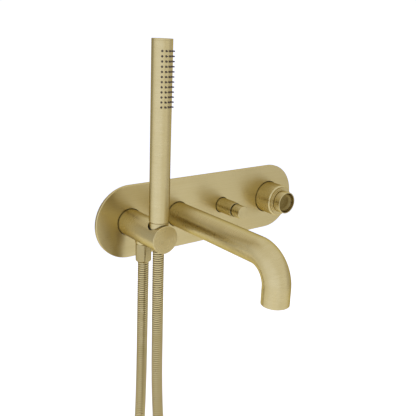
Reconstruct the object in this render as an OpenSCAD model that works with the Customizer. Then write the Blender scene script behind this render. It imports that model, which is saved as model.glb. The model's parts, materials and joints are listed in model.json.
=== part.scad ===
// Wall mounted bath faucet with a hand shower, in millimetres.
// The origin is the middle of the cover plate's back, on the finished wall. +X runs along the plate,
// +Y goes into the wall and +Z is up. "Out" is the distance from the wall towards the room.

/* [Cover plate] */
// Length of the cover plate
plate_l = 350; // [346:1:360]
// Height of the cover plate, rounded in full at both ends
plate_h = 100; // [98:1:110]
// Thickness of the cover plate
plate_t = 4; // [3:0.5:6]
// Bevel round the front edge of the plate
plate_bevel = 0.8; // [0.2:0.1:1.5]

/* [Layout] */
// Distance of the holder and of the mixer from the plate's middle
end_x = 125; // [124:1:126]
// Place of the spout along the plate
spout_x = -47; // [-50:1:-42]
// Height of the spout's axis above the plate's middle
spout_z = -1.5; // [-2:0.5:0]
// Place of the diverter along the plate
diverter_x = 33; // [31:1:36]
// Clear gap between a sleeve and the edge of its hole in the plate
hole_gap = 0.8; // [0.8:0.1:1.2]

/* [Spout] */
// Radius of the spout tube
spout_r = 17.4; // [17:0.1:18]
// Reach of the spout, from the wall to the middle of its outlet
spout_out = 205.5; // [190:0.5:220]
// Radius of the bend's centre line
bend_r = 36; // [30:1:40]
// Drop of the spout's end below its axis
spout_drop = 57; // [52:1:70]

/* [Mixer] */
// Radius of the mixer's sleeve
mixer_r = 23.8; // [23.6:0.1:24.4]
// Where the front of the mixer's sleeve stands
mixer_out = 33.4; // [33:0.1:34]
// Radius of the handle cup
cup_r = 16.6; // [16:0.1:17]
// Where the back of the handle cup stands
cup_back = 36.6; // [36.5:0.1:37]
// Where the rim of the handle cup stands
cup_front = 48; // [47:0.1:50]
// Depth of the recess in the handle cup
recess_deep = 8.7; // [7:0.1:9]

/* [Diverter] */
// Radius of the diverter's sleeve
diverter_r = 11; // [10.8:0.1:11.4]
// Where the front of the diverter's sleeve stands
diverter_out = 35.5; // [34:0.5:36]
// Radius of the diverter's knob
knob_r = 9.5; // [9.2:0.1:9.8]
// Where the front of the diverter's knob stands
knob_front = 52.5; // [48:0.5:56]

/* [Holder] */
// Radius of the holder
holder_r = 17.9; // [17.6:0.1:18.4]
// Where the front of the holder stands
holder_out = 87.8; // [87.5:0.1:92]
// Where the hand shower stands in the holder
handset_out = 73; // [72.5:0.5:73]
// Where the hose leaves the holder
outlet_out = 38; // [36:0.5:40]

/* [Hand shower] */
// Radius of the hand shower
handset_r = 12.5; // [12.3:0.1:13]
// Height of its lower end
handset_low = 21; // [20.5:0.1:22]
// Height of its top
handset_top = 237.7; // [236:0.1:240]
// Rows of nozzles
nozzle_rows = 12; // [8:1:12]
// Distance from row to row
nozzle_pitch = 5.7; // [5.5:0.1:6]
// Height of the top row
nozzle_top = 224.2; // [218:0.1:225]

/* [Hose] */
// Radius of the shower hose
hose_r = 7.25; // [6.5:0.05:7.25]
// Sides of the hose's tube
hose_sides = 12; // [8:1:12]

/* [Hidden] */
$fn = 96;

gold = [0.72, 0.64, 0.42];
raw_brass = [0.80, 0.66, 0.36];
steel = [0.62, 0.62, 0.60];
rubber = [0.10, 0.10, 0.10];
plastic = [0.16, 0.16, 0.17];
clear_plastic = [0.85, 0.87, 0.88];
ceramic = [0.93, 0.92, 0.88];
nozzle_grey = [0.33, 0.29, 0.24];

// small clearances and wall thicknesses that many pieces share
fit = 0.05;
slack = 0.1;
wall = 1.5;
bevel = 0.5;
sleeve_back = 1;

// the valve body inside the wall: depths behind the wall's face, then radii
mixer_depth = 38;
cartridge_floor = 10;
inlet_y = 17;
inlet_step = 16;
inlet_end_z = -44;
inlet_r = 9.3;
inlet_l = 16;
inlet_wall_r = 13;
inlet_duct_r = 3.5;
inlet_duct_in = 3.5;
mixed_y = 26;
spout_duct_y = 12;
shower_y = 38;
duct_r = 4.5;
pipe_r = 7;
boss_r = 13;
boss_depth = 20;
boss_front = 4;
nipple_depth = 17;
nipple_in = 8;
nipple_r = 9.25;
nipple_out = 24;
nipple_bore_r = 6;
nipple_groove_r = 7.2;
nipple_ring_out = 18.1;
water_r = 5;
neck_out = 20;
mixer_neck_r = 20;
cartridge_r = 15.9;
nut_r = 17.9;
nut_back = 14;
chamber_r = 8;
diverter_neck_r = 9.2;
lug_x = 82.5;
lug_z = 28;
lug_y = 32;
lug_t = 4;
lug_r = 8;
lug_hole_r = 2.75;

// the mixer's port holes, as [across, up, radius] from its axis
PORTS = [[-8, -5, 3.5], [8, -5, 3.5], [0, 7, 4]];

// the diverter: seats and chambers, as distances out from the wall
rear_seat = -32;
front_seat = -19;
front_chamber = -17;
bonnet_back = 6;
poppet_t = 3.4;
poppet_back = rear_seat + 0.3;
stem_r = 3;
diverter_stem_front = 46;
collar_front = -13;
spring_turns = 7;
spring_wire = 0.6;
spring_r = 5.6;
SPRING_STEPS = 14;

// set screws: radius, distance out, and where those of the spout and the holder start
set_screw_r = 2;
set_screw_from = 9.1;
spout_screw_out = 12;
holder_screw_out = 10;
knob_screw_r = 1.5;
knob_screw_out = 31;

spout_in_r = spout_r - wall;
end_z = spout_z - spout_drop;
cone_low = -17;
cone_low_r = 8.6;
cone_top_r = 11.7;
cone_shoulder = 2;
tail_r = 10.4;
tube_wall = 1;
tube_in_r = handset_r - tube_wall;
cap_t = 2;
nut_low = -43;
nut_top = -18.4;
outlet_boss_r = 10.6;
outlet_boss_low = -18.1;
outlet_r = 8.2;
outlet_seat = 7;
outlet_low = -34;
washer_t = 1.8;
NOZZLE_ANGLES = [-33, -11, 11, 33];
nozzle_r = 1.1;
nozzle_tip_r = 0.75;
nozzle_tip = 3.1;

// route of the hose's middle line, as [out from the wall, height]
HOSE_ROUTE = [
    [38, -43], [38, -60], [37.5, -100], [37.1, -140], [36.6, -180], [35.8, -220],
    [34.4, -260], [32.2, -300], [29, -340], [25.2, -380], [21, -420], [16.8, -460],
    [13.2, -500], [12, -535], [16.5, -557], [29, -576], [48, -588.5], [70, -593],
    [92, -588.5], [110.5, -576], [122.7, -557], [127, -535], [125.5, -500], [119.5, -460],
    [111, -420], [101.5, -380], [92.5, -340], [85, -300], [79.4, -260], [75.9, -220],
    [74.2, -180], [73.8, -140], [73.3, -100], [73, -60], [73, -17]
];

// ---- shared shapes ----

// Turns a shape's own z into "out" on an axis that stands square to the wall.
module on_axis(x, z = 0) {
    translate([x, 0, z]) rotate([90, 0, 0]) children();
}

module rod(r, from, to) {
    translate([0, 0, from]) cylinder(h = to - from, r = r);
}

module ring(r_out, r_in, from, to) {
    rotate_extrude() translate([r_in, from]) square([r_out - r_in, to - from]);
}

// A rod whose far end has a bevel.
module beveled_rod(r, from, to, b) {
    rotate_extrude() polygon([[0, from], [r, from], [r, to - b], [r - b, to], [0, to]]);
}

// A ring whose far outer edge has a bevel.
module beveled_ring(r_out, r_in, from, to, b) {
    rotate_extrude()
        polygon([[r_in, from], [r_out, from], [r_out, to - b], [r_out - b, to], [r_in, to]]);
}

module oring(r, wire_r, at) {
    translate([0, 0, at]) rotate_extrude() translate([r, 0]) circle(r = wire_r, $fn = 32);
}

module hex_rod(across_flats, from, to) {
    translate([0, 0, from]) cylinder(h = to - from, r = across_flats / sqrt(3), $fn = 6);
}

// A plate with full round ends, lying on z = 0, with a bevel round its top.
module stadium(length, r, t, b) {
    half = length / 2 - r;
    for (side = [-1, 1]) translate([side * half, 0, 0]) beveled_rod(r, 0, t, b);
    translate([-half, 0, 0]) rotate([90, 0, 90]) linear_extrude(2 * half)
        polygon([[-r, 0], [r, 0], [r, t - b], [r - b, t], [b - r, t], [-r, t - b]]);
}

// A round bar, or the duct in it, along X at a depth behind the wall's face.
module bar(x_from, x_to, y, r) {
    translate([x_from, y, 0]) rotate([0, 90, 0]) cylinder(h = x_to - x_from, r = r);
}

// The spout's own shape at a given radius, in its axis frame: straight, bend and drop.
module spout_shape(r, from, drop) {
    rod(r, from, spout_out - bend_r);
    translate([0, -bend_r, spout_out - bend_r]) rotate([90, 0, 90])
        rotate_extrude(angle = 90) translate([bend_r, 0]) circle(r = r);
    translate([0, -drop, spout_out]) rotate([-90, 0, 0]) cylinder(h = drop - bend_r, r = r);
}

// The threaded nipple that carries water into the spout or the holder.
module wall_nipple() {
    difference() {
        union() {
            rod(nipple_r, -nipple_in, 0);
            rod(nipple_r - 0.25, 0, nipple_out);
        }
        rod(nipple_bore_r, -nipple_in - 1, nipple_out + 1);
        ring(nipple_r + 1, nipple_groove_r, nipple_ring_out - 1.1, nipple_ring_out + 1.1);
    }
}

module wall_nipple_oring() {
    oring(8.12, 0.9, nipple_ring_out);
}

module radial_hole(r, at, from, to) {
    translate([0, -from, at]) rotate([90, 0, 0]) cylinder(h = to - from, r = r);
}

// A set screw below an axis, with a hex socket in its outer end.
module set_screw(r, at, from, to) {
    difference() {
        radial_hole(r, at, from, to);
        translate([0, -to + r, at]) rotate([90, 0, 0])
            cylinder(h = r + 1, r = r * 0.55, $fn = 6);
    }
}

// ---- cover plate ----

module plate_holes(extra) {
    on_axis(end_x) rod(mixer_r + extra, -1, plate_t + 1);
    on_axis(diverter_x) rod(diverter_r + extra, -1, plate_t + 1);
    on_axis(spout_x, spout_z) rod(spout_r + extra, -1, plate_t + 1);
    on_axis(-end_x) rod(holder_r + extra, -1, plate_t + 1);
}

gasket_r = plate_h / 2 - 3;
gasket_w = 4;
gasket_t = 1.5;

module gasket_ring() {
    inner = gasket_r - gasket_w;
    difference() {
        stadium(plate_l - 6, gasket_r, gasket_t, 0);
        translate([0, 0, -1])
            stadium(plate_l - 6 - 2 * gasket_w, inner, gasket_t + 2, 0);
    }
}

module cover_plate() {
    color(gold) difference() {
        on_axis(0) stadium(plate_l, plate_h / 2, plate_t, plate_bevel);
        plate_holes(hole_gap);
        on_axis(0) gasket_ring();
    }
}

module plate_gasket() {
    color(rubber) on_axis(0) gasket_ring();
}

// Four rings that centre the plate on the sleeves.
module plate_orings() {
    wire = hole_gap / 2 - 0.02;
    color(rubber) {
        on_axis(end_x) oring(mixer_r + hole_gap / 2, wire, sleeve_back + 0.6);
        on_axis(diverter_x) oring(diverter_r + hole_gap / 2, wire, sleeve_back + 0.6);
        on_axis(spout_x, spout_z) oring(spout_r + hole_gap / 2, wire, sleeve_back + 0.6);
        on_axis(-end_x) oring(holder_r + hole_gap / 2, wire, sleeve_back + 0.6);
    }
}

// ---- valve body in the wall ----

// where the pipes end in their sockets: at the diverter on its right and left, and at the mixer
socket_deep = 3;
mixed_from = diverter_x + boss_r - socket_deep;
duct_to = diverter_x - boss_r + socket_deep;
mixed_to = end_x - mixer_neck_r + socket_deep;

module mixer_body() {
    color(raw_brass) difference() {
        union() {
            on_axis(end_x) rod(mixer_neck_r, -mixer_depth, neck_out);
            for (side = [-1, 1])
                translate([end_x + side * inlet_step, inlet_y, inlet_end_z])
                    cylinder(h = -inlet_end_z, r = inlet_wall_r);
        }
        on_axis(end_x) {
            rod(cartridge_r + slack, -cartridge_floor, neck_out + 1);
            rod(nut_r + slack, nut_back, neck_out + 1);
            for (p = PORTS) translate([p[0], p[1], 0])
                rod(p[2], p[1] < 0 ? -inlet_y - 3 : -mixed_y, 1 - cartridge_floor);
        }
        for (side = [-1, 1]) {
            translate([end_x + side * inlet_step, inlet_y, inlet_end_z - 1])
                cylinder(h = inlet_l + 1, r = inlet_r);
            translate([end_x + side * (inlet_step - inlet_duct_in), inlet_y, inlet_end_z + 1])
                cylinder(h = -inlet_end_z - 3, r = inlet_duct_r);
        }
        bar(mixed_to - 1, end_x, mixed_y, duct_r);
        bar(end_x - inlet_step - inlet_wall_r - 1, mixed_to, mixed_y, pipe_r + fit);
    }
}

module diverter_body() {
    color(raw_brass) difference() {
        on_axis(diverter_x) {
            rod(boss_r, -shower_y - pipe_r - 4, -boss_front);
            rod(diverter_neck_r, -boss_front - 1, neck_out);
        }
        on_axis(diverter_x) {
            rod(water_r, -shower_y, rear_seat + 1);
            rod(chamber_r, rear_seat, front_seat);
            rod(5.5, front_seat - 1, front_chamber + 1);
            rod(chamber_r, front_chamber, neck_out + 1);
        }
        bar(diverter_x, mixed_from + 1, mixed_y, duct_r);
        bar(mixed_from, mixed_from + boss_r, mixed_y, pipe_r + fit);
        bar(duct_to, diverter_x, spout_duct_y, duct_r);
        bar(duct_to - boss_r, duct_to, spout_duct_y, pipe_r + fit);
        bar(duct_to, diverter_x, shower_y, duct_r);
        bar(duct_to - boss_r, duct_to, shower_y, pipe_r + fit);
    }
}

module spout_elbow() {
    end = spout_x + boss_r - socket_deep;
    color(raw_brass) difference() {
        on_axis(spout_x, spout_z) rod(boss_r, -boss_depth, -sleeve_back);
        on_axis(spout_x, spout_z) rod(nipple_r + fit, -nipple_depth, 0);
        bar(spout_x, end + 1, spout_duct_y, duct_r);
        bar(end, end + boss_r, spout_duct_y, pipe_r + fit);
    }
}

module holder_elbow() {
    end = boss_r - end_x - socket_deep;
    color(raw_brass) difference() {
        on_axis(-end_x) rod(boss_r, -shower_y - pipe_r - 4, -sleeve_back);
        on_axis(-end_x) rod(nipple_r + fit, -nipple_depth, 0);
        on_axis(-end_x) rod(duct_r, -shower_y, -1);
        bar(-end_x, end + 1, shower_y, duct_r);
        bar(end, end + boss_r, shower_y, pipe_r + fit);
    }
}

module pipe(x_from, x_to, y) {
    difference() {
        bar(x_from, x_to, y, pipe_r);
        bar(x_from - 1, x_to + 1, y, duct_r);
    }
}

module mixed_pipe() {
    color(raw_brass) pipe(mixed_from, mixed_to, mixed_y);
}

module spout_pipe() {
    color(raw_brass) pipe(spout_x + boss_r - socket_deep, duct_to, spout_duct_y);
}

module shower_pipe() {
    color(raw_brass) pipe(boss_r - end_x - socket_deep, duct_to, shower_y);
}

// Lugs brazed to the pipes, with a screw hole above and one below each pipe.
module fixing_lugs() {
    color(raw_brass) difference() {
        for (side = [-1, 1]) translate([side * lug_x, lug_y, 0]) rotate([90, 0, 0])
            rotate([0, 0, 90]) stadium(2 * (lug_z + lug_r), lug_r, lug_t, 0);
        bar(diverter_x, end_x, mixed_y, pipe_r + fit);
        bar(-end_x, diverter_x, shower_y, pipe_r + fit);
        for (side = [-1, 1], up = [-1, 1]) on_axis(side * lug_x, up * lug_z)
            rod(lug_hole_r, -lug_y - 1, 1 + lug_t - lug_y);
    }
}

// ---- mixer ----

mixer_in_r = mixer_r - 2;

// Rings between the two necks and the sleeves pushed over them.
module sleeve_orings() {
    gap = mixer_in_r - mixer_neck_r;
    small_gap = diverter_r - 1 - diverter_neck_r;
    color(rubber) {
        on_axis(end_x) oring(mixer_neck_r + gap / 2, gap / 2 - 0.02, 16);
        on_axis(diverter_x) oring(diverter_neck_r + small_gap / 2, small_gap / 2 - 0.02, 16);
    }
}

trim_r = 20.6;
trim_step_r = 18.6;
trim_in_r = 13;

module mixer_sleeve() {
    color(gold) on_axis(end_x) rotate_extrude() polygon([
        [mixer_in_r, sleeve_back], [mixer_r, sleeve_back], [mixer_r, mixer_out - 1.4],
        [mixer_r - 1.4, mixer_out], [trim_r - 1.6, mixer_out], [trim_r - 1.6, mixer_out - 2],
        [mixer_in_r, mixer_out - 2]
    ]);
}

// The stepped ring that closes the sleeve behind the handle.
module mixer_trim_ring() {
    front = cup_back - 0.5;
    step = mixer_out + 1.6;
    back = mixer_out - 2;
    inset_r = trim_r - 1.6 - fit;
    color(gold) on_axis(end_x) rotate_extrude() polygon([
        [trim_in_r, back], [inset_r, back], [inset_r, mixer_out], [trim_r, mixer_out],
        [trim_r, step - 0.4], [trim_r - 0.4, step], [trim_step_r, step],
        [trim_step_r, front - 0.4], [trim_step_r - 0.4, front], [trim_in_r, front]
    ]);
}

cavity_r = 12.2;
cavity_back = -5;
cavity_front = 10;
shaft_r = 4.2;
snout_r = 7;
snout_out = 22;
disc_face = -1.2;

module port_holes(from, to) {
    for (p = PORTS) translate([p[0], p[1], 0]) rod(p[2] - 0.3, from, to);
}

module mixer_cartridge() {
    color(clear_plastic) on_axis(end_x) difference() {
        union() {
            rod(cartridge_r, 1 - cartridge_floor, nut_back - 0.2);
            rod(snout_r, 0, snout_out);
        }
        rod(cavity_r, cavity_back, cavity_front);
        rod(shaft_r + fit, 0, snout_out + 1);
        ring(5.8, 4, 11, 13);
        port_holes(-cartridge_floor - 1, 0);
    }
}

module cartridge_nut() {
    color(raw_brass) on_axis(end_x) difference() {
        union() {
            rod(nut_r, nut_back, neck_out);
            hex_rod(27, neck_out, neck_out + 5);
        }
        rod(snout_r + slack, nut_back - 1, neck_out + 6);
    }
}

// Three port seals between the cartridge and the floor of its seat.
module cartridge_seals() {
    color(rubber) on_axis(end_x) for (p = PORTS) translate([p[0], p[1], 0])
        ring(p[2] + 1, p[2] - 0.2, -cartridge_floor, 1 - cartridge_floor);
}

module stem_oring() {
    color(rubber) on_axis(end_x) oring(5.02, 0.74, 12);
}

module ceramic_disc_fixed() {
    color(ceramic) on_axis(end_x) difference() {
        rod(cavity_r - slack, cavity_back, disc_face);
        port_holes(cavity_back - 1, 0);
    }
}

disc_gap = 0.3;
moving_front = 2.5;

module ceramic_disc_moving() {
    color(ceramic) on_axis(end_x) difference() {
        rod(cavity_r - 0.7, disc_face + disc_gap, moving_front);
        translate([0, 3, 0]) rod(3, disc_face, moving_front - 1);
    }
}

stem_top = 33.4;
screw_r = 1.5;

module cartridge_stem() {
    color(raw_brass) on_axis(end_x) difference() {
        union() {
            rod(cavity_r - 1.2, moving_front, 6.5);
            beveled_rod(shaft_r, 6.5, stem_top, bevel);
        }
        rod(screw_r + fit, 24, stem_top + 1);
    }
}

floor_out = cup_front - recess_deep;
cup_wall = 1.4;
recess_fillet = 5;
cap_r = 5;
head_r = 3;

// Points of the quarter round between the recess's wall and its floor.
function recess_corner(r) = [
    for (a = [0 : 15 : 90])
        [r - recess_fillet + recess_fillet * cos(a), floor_out + recess_fillet * (1 - sin(a))]
];

module handle_cup() {
    inner = cup_r - cup_wall;
    color(gold) on_axis(end_x) difference() {
        rotate_extrude() polygon(concat(
            [[0, stem_top - 7], [9, stem_top - 7], [9, cup_back], [cup_r - 0.4, cup_back],
                [cup_r, cup_back + 0.4], [cup_r, cup_front - 0.4], [cup_r - 0.4, cup_front],
                [inner + 0.3, cup_front], [inner, cup_front - 0.3]],
            recess_corner(inner),
            [[0, floor_out]]
        ));
        rod(shaft_r + fit, stem_top - 8, stem_top + slack);
        rod(screw_r + slack, stem_top, floor_out + 1);
        rod(head_r + slack, floor_out - 3, floor_out + 1);
        rod(cap_r + fit, floor_out - 1, floor_out + 1);
    }
}

module handle_screw() {
    color(steel) on_axis(end_x) difference() {
        union() {
            rod(screw_r, 25, floor_out - 2.9);
            rod(head_r, floor_out - 3, floor_out - 1.1);
        }
        translate([0, 0, floor_out - 2.2]) cylinder(h = 2, r = 1.4, $fn = 6);
    }
}

module handle_cap() {
    color(gold) on_axis(end_x) beveled_rod(cap_r, floor_out - 1, floor_out, 0.2);
}

// ---- diverter ----

module diverter_sleeve() {
    color(gold) on_axis(diverter_x)
        beveled_ring(diverter_r, diverter_r - 1, sleeve_back, diverter_out, 0.3);
}

module diverter_bonnet() {
    color(raw_brass) on_axis(diverter_x) difference() {
        union() {
            rod(chamber_r - fit, bonnet_back, neck_out);
            hex_rod(15, neck_out, neck_out + 3);
        }
        rod(stem_r + fit, 0, neck_out + 4);
        ring(4.9, stem_r, 14, 15.8);
        ring(chamber_r + 1, chamber_r - 1.2, 9, 10.6);
    }
}

module bonnet_orings() {
    color(rubber) on_axis(diverter_x) {
        oring(3.97, 0.85, 14.9);
        oring(chamber_r - 0.6, 0.55, 9.8);
    }
}

// Spring wire swept round a helix, between the stem's collar and the bonnet.
function spring_point(i) = let (
    a = 360 * i / SPRING_STEPS,
    length = bonnet_back - collar_front - 2 * spring_wire - 0.2
) [
    spring_r * cos(a), spring_r * sin(a),
    collar_front + spring_wire + 0.1 + length * i / (spring_turns * SPRING_STEPS)
];

module diverter_spring() {
    sides = 6;
    last = spring_turns * SPRING_STEPS;
    points = [
        for (i = [0 : last], s = [0 : sides - 1]) let (
            p = spring_point(i), a = 360 * i / SPRING_STEPS, b = 360 * s / sides,
            reach = spring_r + spring_wire * cos(b)
        ) [reach * cos(a), reach * sin(a), p[2] + spring_wire * sin(b)]
    ];
    color(steel) on_axis(diverter_x) polyhedron(points, tube_faces(last + 1, sides));
}

module diverter_stem() {
    core = poppet_back + 1;
    color(raw_brass) on_axis(diverter_x) {
        rod(stem_r, poppet_back, diverter_stem_front);
        rod(6.5, core, poppet_back + poppet_t - 1);
        rod(4.6, collar_front - 2, collar_front);
    }
}

// The rubber faces on both sides of the valve disc.
module diverter_seals() {
    front = poppet_back + poppet_t;
    color(rubber) on_axis(diverter_x) {
        ring(7, stem_r + fit, poppet_back, poppet_back + 1);
        ring(7, stem_r + fit, front - 1, front);
    }
}

knob_back = diverter_out + 1.5;
skirt_r = knob_r - 0.9;
skirt_back = 26;

module diverter_knob() {
    color(gold) on_axis(diverter_x) difference() {
        union() {
            beveled_rod(knob_r, knob_back, knob_front, bevel);
            rod(skirt_r, skirt_back, knob_back);
        }
        rod(stem_r + fit, skirt_back - 1, diverter_stem_front + slack);
        radial_hole(knob_screw_r + slack, knob_screw_out, 0, skirt_r + 1);
    }
}

module knob_grub_screw() {
    color(steel) on_axis(diverter_x) set_screw(
        knob_screw_r, knob_screw_out, stem_r + fit, skirt_r - 0.5
    );
}

// ---- spout ----

module spout_tube() {
    color(gold) on_axis(spout_x, spout_z) difference() {
        spout_shape(spout_r, sleeve_back, spout_drop);
        spout_shape(spout_in_r, sleeve_back - 1, spout_drop + 1);
        radial_hole(set_screw_r + 0.3, spout_screw_out, 10, spout_r + 1);
    }
}

// The collar brazed inside the spout's root.
module spout_collar() {
    color(raw_brass) on_axis(spout_x, spout_z) difference() {
        ring(spout_in_r - fit, nipple_r - 0.15, sleeve_back + 1, nipple_out + 2);
        radial_hole(set_screw_r + slack, spout_screw_out, 0, spout_r);
    }
}

module spout_nipple() {
    color(raw_brass) on_axis(spout_x, spout_z) wall_nipple();
}

module spout_oring() {
    color(rubber) on_axis(spout_x, spout_z) wall_nipple_oring();
}

module spout_grub_screw() {
    color(steel) on_axis(spout_x, spout_z) set_screw(
        set_screw_r, spout_screw_out, set_screw_from, spout_r - 0.5
    );
}

// Stands a shape on the spout's end, with its own z going up into the tube.
module in_outlet() {
    translate([spout_x, -spout_out, end_z]) children();
}

aerator_r = 12.5;

module aerator_ring() {
    color(gold) in_outlet() rotate_extrude() polygon([
        [aerator_r, 1], [spout_in_r - fit - 0.5, 1], [spout_in_r - fit, 1.5],
        [spout_in_r - fit, 9], [aerator_r - 1.5, 9], [aerator_r - 1.5, 7.5], [aerator_r, 7.5]
    ]);
}

module aerator_washer() {
    color(rubber) in_outlet() ring(spout_in_r - 1, aerator_r - 1, 9, 11);
}

// A plastic honeycomb of round cells that straightens the water.
module aerator_insert() {
    cell = 3.2;
    rings = 3;
    color(clear_plastic) in_outlet() difference() {
        rod(aerator_r - slack, 2, 7.4);
        for (i = [-rings : rings], j = [-rings : rings])
            if (abs(i + j) <= rings)
                translate([cell * (i + j / 2), cell * j * sqrt(3) / 2, 0]) rod(1.25, 1, 9);
    }
}

// ---- holder ----

hole_r = 13.7;

module under_outlet() {
    translate([-end_x, -outlet_out, 0]) children();
}

module in_holder() {
    translate([-end_x, -handset_out, 0]) children();
}

module holder_body() {
    color(gold) difference() {
        union() {
            on_axis(-end_x) beveled_rod(holder_r, sleeve_back, holder_out, bevel);
            under_outlet() rod(outlet_boss_r, outlet_boss_low, 0);
        }
        on_axis(-end_x) {
            rod(nipple_r - 0.15, 0, nipple_out + 1);
            rod(water_r, nipple_out, outlet_out + water_r);
            radial_hole(set_screw_r + slack, holder_screw_out, 0, holder_r + 1);
        }
        under_outlet() {
            rod(outlet_r + fit, -holder_r - 1, -outlet_seat);
            rod(water_r, -outlet_seat - 1, 0);
        }
        in_holder() rod(hole_r, -holder_r - 1, holder_r + 1);
    }
}

module holder_nipple() {
    color(raw_brass) on_axis(-end_x) wall_nipple();
}

module holder_oring() {
    color(rubber) on_axis(-end_x) wall_nipple_oring();
}

module holder_grub_screw() {
    color(steel) on_axis(-end_x) set_screw(
        set_screw_r, holder_screw_out, set_screw_from, holder_r - 1
    );
}

// Radius of the cone nut at a height up to its inner shoulder. It is straight above.
function cone_r(z) =
    cone_low_r + (cone_top_r - cone_low_r) * (z - cone_low) / (cone_shoulder - cone_low);

liner_z = 10.5;

// The plastic liner that the cone nut sits in.
module holder_liner() {
    gap = 0.3;
    color(plastic) in_holder() rotate_extrude() polygon([
        [cone_r(-liner_z) + gap, -liner_z], [hole_r - fit, -liner_z], [hole_r - fit, liner_z],
        [cone_top_r + gap, liner_z], [cone_top_r + gap, cone_shoulder]
    ]);
}

// ---- hose and its ends ----

module outlet_nipple() {
    color(raw_brass) under_outlet() ring(outlet_r, water_r, outlet_low, -outlet_seat - slack);
}

module outlet_washer() {
    color(rubber) under_outlet() ring(outlet_r - slack, water_r, outlet_low - washer_t, outlet_low);
}

ferrule_r = 7.6;

module outlet_ferrule() {
    color(raw_brass) under_outlet() {
        ring(ferrule_r, water_r, nut_low, outlet_low - washer_t - 1.2);
        ring(outlet_r - slack, water_r, outlet_low - washer_t - 1.6, outlet_low - washer_t);
    }
}

module outlet_hose_nut() {
    shoulder = -37.5;
    chamfer = 1.8;
    color(gold) under_outlet() difference() {
        intersection() {
            hex_rod(20, nut_low, nut_top);
            rotate_extrude() polygon([
                [0, nut_low], [9.4, nut_low], [10.9, nut_low + chamfer],
                [10.9, nut_top - 0.8], [10.2, nut_top], [0, nut_top]
            ]);
        }
        rod(ferrule_r + fit, nut_low - 1, shoulder + 1);
        rod(outlet_r + fit, shoulder, nut_top + 1);
    }
}

// Triangles of a closed tube made of rings of points, with its two ends filled.
function tube_faces(rings, sides) = concat(
    [[for (s = [sides - 1 : -1 : 0]) s]],
    [[for (s = [0 : sides - 1]) (rings - 1) * sides + s]],
    [for (i = [0 : rings - 2], s = [0 : sides - 1]) let (
        a = i * sides + s, b = i * sides + (s + 1) % sides
    ) each [[a, b, b + sides], [a, b + sides, a + sides]]]
);

function unit(v) = v / norm(v);

// Direction of the route at a point: straight at its ends, along its neighbours between them.
function along(i) = let (last = len(HOSE_ROUTE) - 1)
    i == 0 ? [0, -1] : i == last ? [0, 1]
    : unit(HOSE_ROUTE[i + 1] - HOSE_ROUTE[i - 1]);

module hose() {
    points = [
        for (i = [0 : len(HOSE_ROUTE) - 1], s = [0 : hose_sides - 1]) let (
            p = HOSE_ROUTE[i], t = along(i), a = 360 * s / hose_sides,
            side = hose_r * cos(a), up = hose_r * sin(a)
        ) [side - end_x, -p[0] - up * t[1], p[1] + up * t[0]]
    ];
    color(gold) polyhedron(points, tube_faces(len(HOSE_ROUTE), hose_sides));
}

module handset_ferrule() {
    color(raw_brass) in_holder() {
        ring(ferrule_r + 0.04, 4.8, cone_low, cone_shoulder + 0.3);
        ring(tail_r - 0.2, 4.8, cone_shoulder + 0.2, 4.4);
    }
}

module cone_washer() {
    color(rubber) in_holder() ring(tail_r - 0.2, 5, 4.4, 6.4);
}

module cone_nut() {
    color(gold) in_holder() rotate_extrude() polygon([
        [ferrule_r + 0.1, cone_low], [cone_low_r - bevel, cone_low],
        [cone_low_r, cone_low + bevel], [cone_top_r, cone_shoulder],
        [cone_top_r, handset_low], [tail_r + fit, handset_low], [tail_r + fit, cone_shoulder],
        [ferrule_r + 0.1, cone_shoulder]
    ]);
}

// ---- hand shower ----

module handset_tail() {
    plug_r = tube_in_r - slack;
    color(raw_brass) in_holder() difference() {
        union() {
            rod(tail_r, 6.6, handset_low);
            rod(plug_r, handset_low, handset_low + 12);
        }
        rod(6, 0, handset_low + 13);
        ring(plug_r + 1, plug_r - 1.5, handset_low + 4, handset_low + 6);
    }
}

module handset_orings() {
    color(rubber) in_holder() oring(tube_in_r - 0.8, 0.74, handset_low + 5);
}

module nozzle_spots() {
    for (row = [0 : nozzle_rows - 1], a = NOZZLE_ANGLES)
        translate([0, 0, nozzle_top - row * nozzle_pitch]) rotate([90, 0, a]) children();
}

module handset_tube() {
    color(gold) in_holder() difference() {
        ring(handset_r, tube_in_r, handset_low, handset_top - cap_t);
        nozzle_spots() rod(nozzle_r + 0.2, tube_in_r - 2, handset_r + 1);
    }
}

module handset_end_cap() {
    color(gold) in_holder() {
        beveled_rod(handset_r, handset_top - cap_t, handset_top, 0.4);
        ring(tube_in_r - slack, 8, handset_top - cap_t - 4, handset_top - cap_t);
    }
}

waterway_r = 10.4;

module handset_waterway() {
    strip_low = nozzle_top - (nozzle_rows - 1) * nozzle_pitch - 4;
    color(plastic) in_holder() difference() {
        ring(waterway_r, 9.2, handset_low + 12, handset_top - cap_t - 4);
        translate([-7, -waterway_r - 1, strip_low])
            cube([14, 6, nozzle_top + 4 - strip_low]);
    }
}

// A silicone strip behind the tube, with one soft nozzle through each hole.
module handset_nozzles() {
    strip_low = nozzle_top - (nozzle_rows - 1) * nozzle_pitch - 5;
    strip_out = tube_in_r - slack;
    color(nozzle_grey) in_holder() {
        translate([0, 0, strip_low]) rotate([0, 0, 218]) rotate_extrude(angle = 104)
            translate([waterway_r + slack, 0])
                square([strip_out - waterway_r - slack, nozzle_top + 4 - strip_low]);
        nozzle_spots() translate([0, 0, strip_out - 0.4]) cylinder(
            h = handset_r + nozzle_tip - strip_out + 0.4, r1 = nozzle_r, r2 = nozzle_tip_r
        );
    }
}

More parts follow.
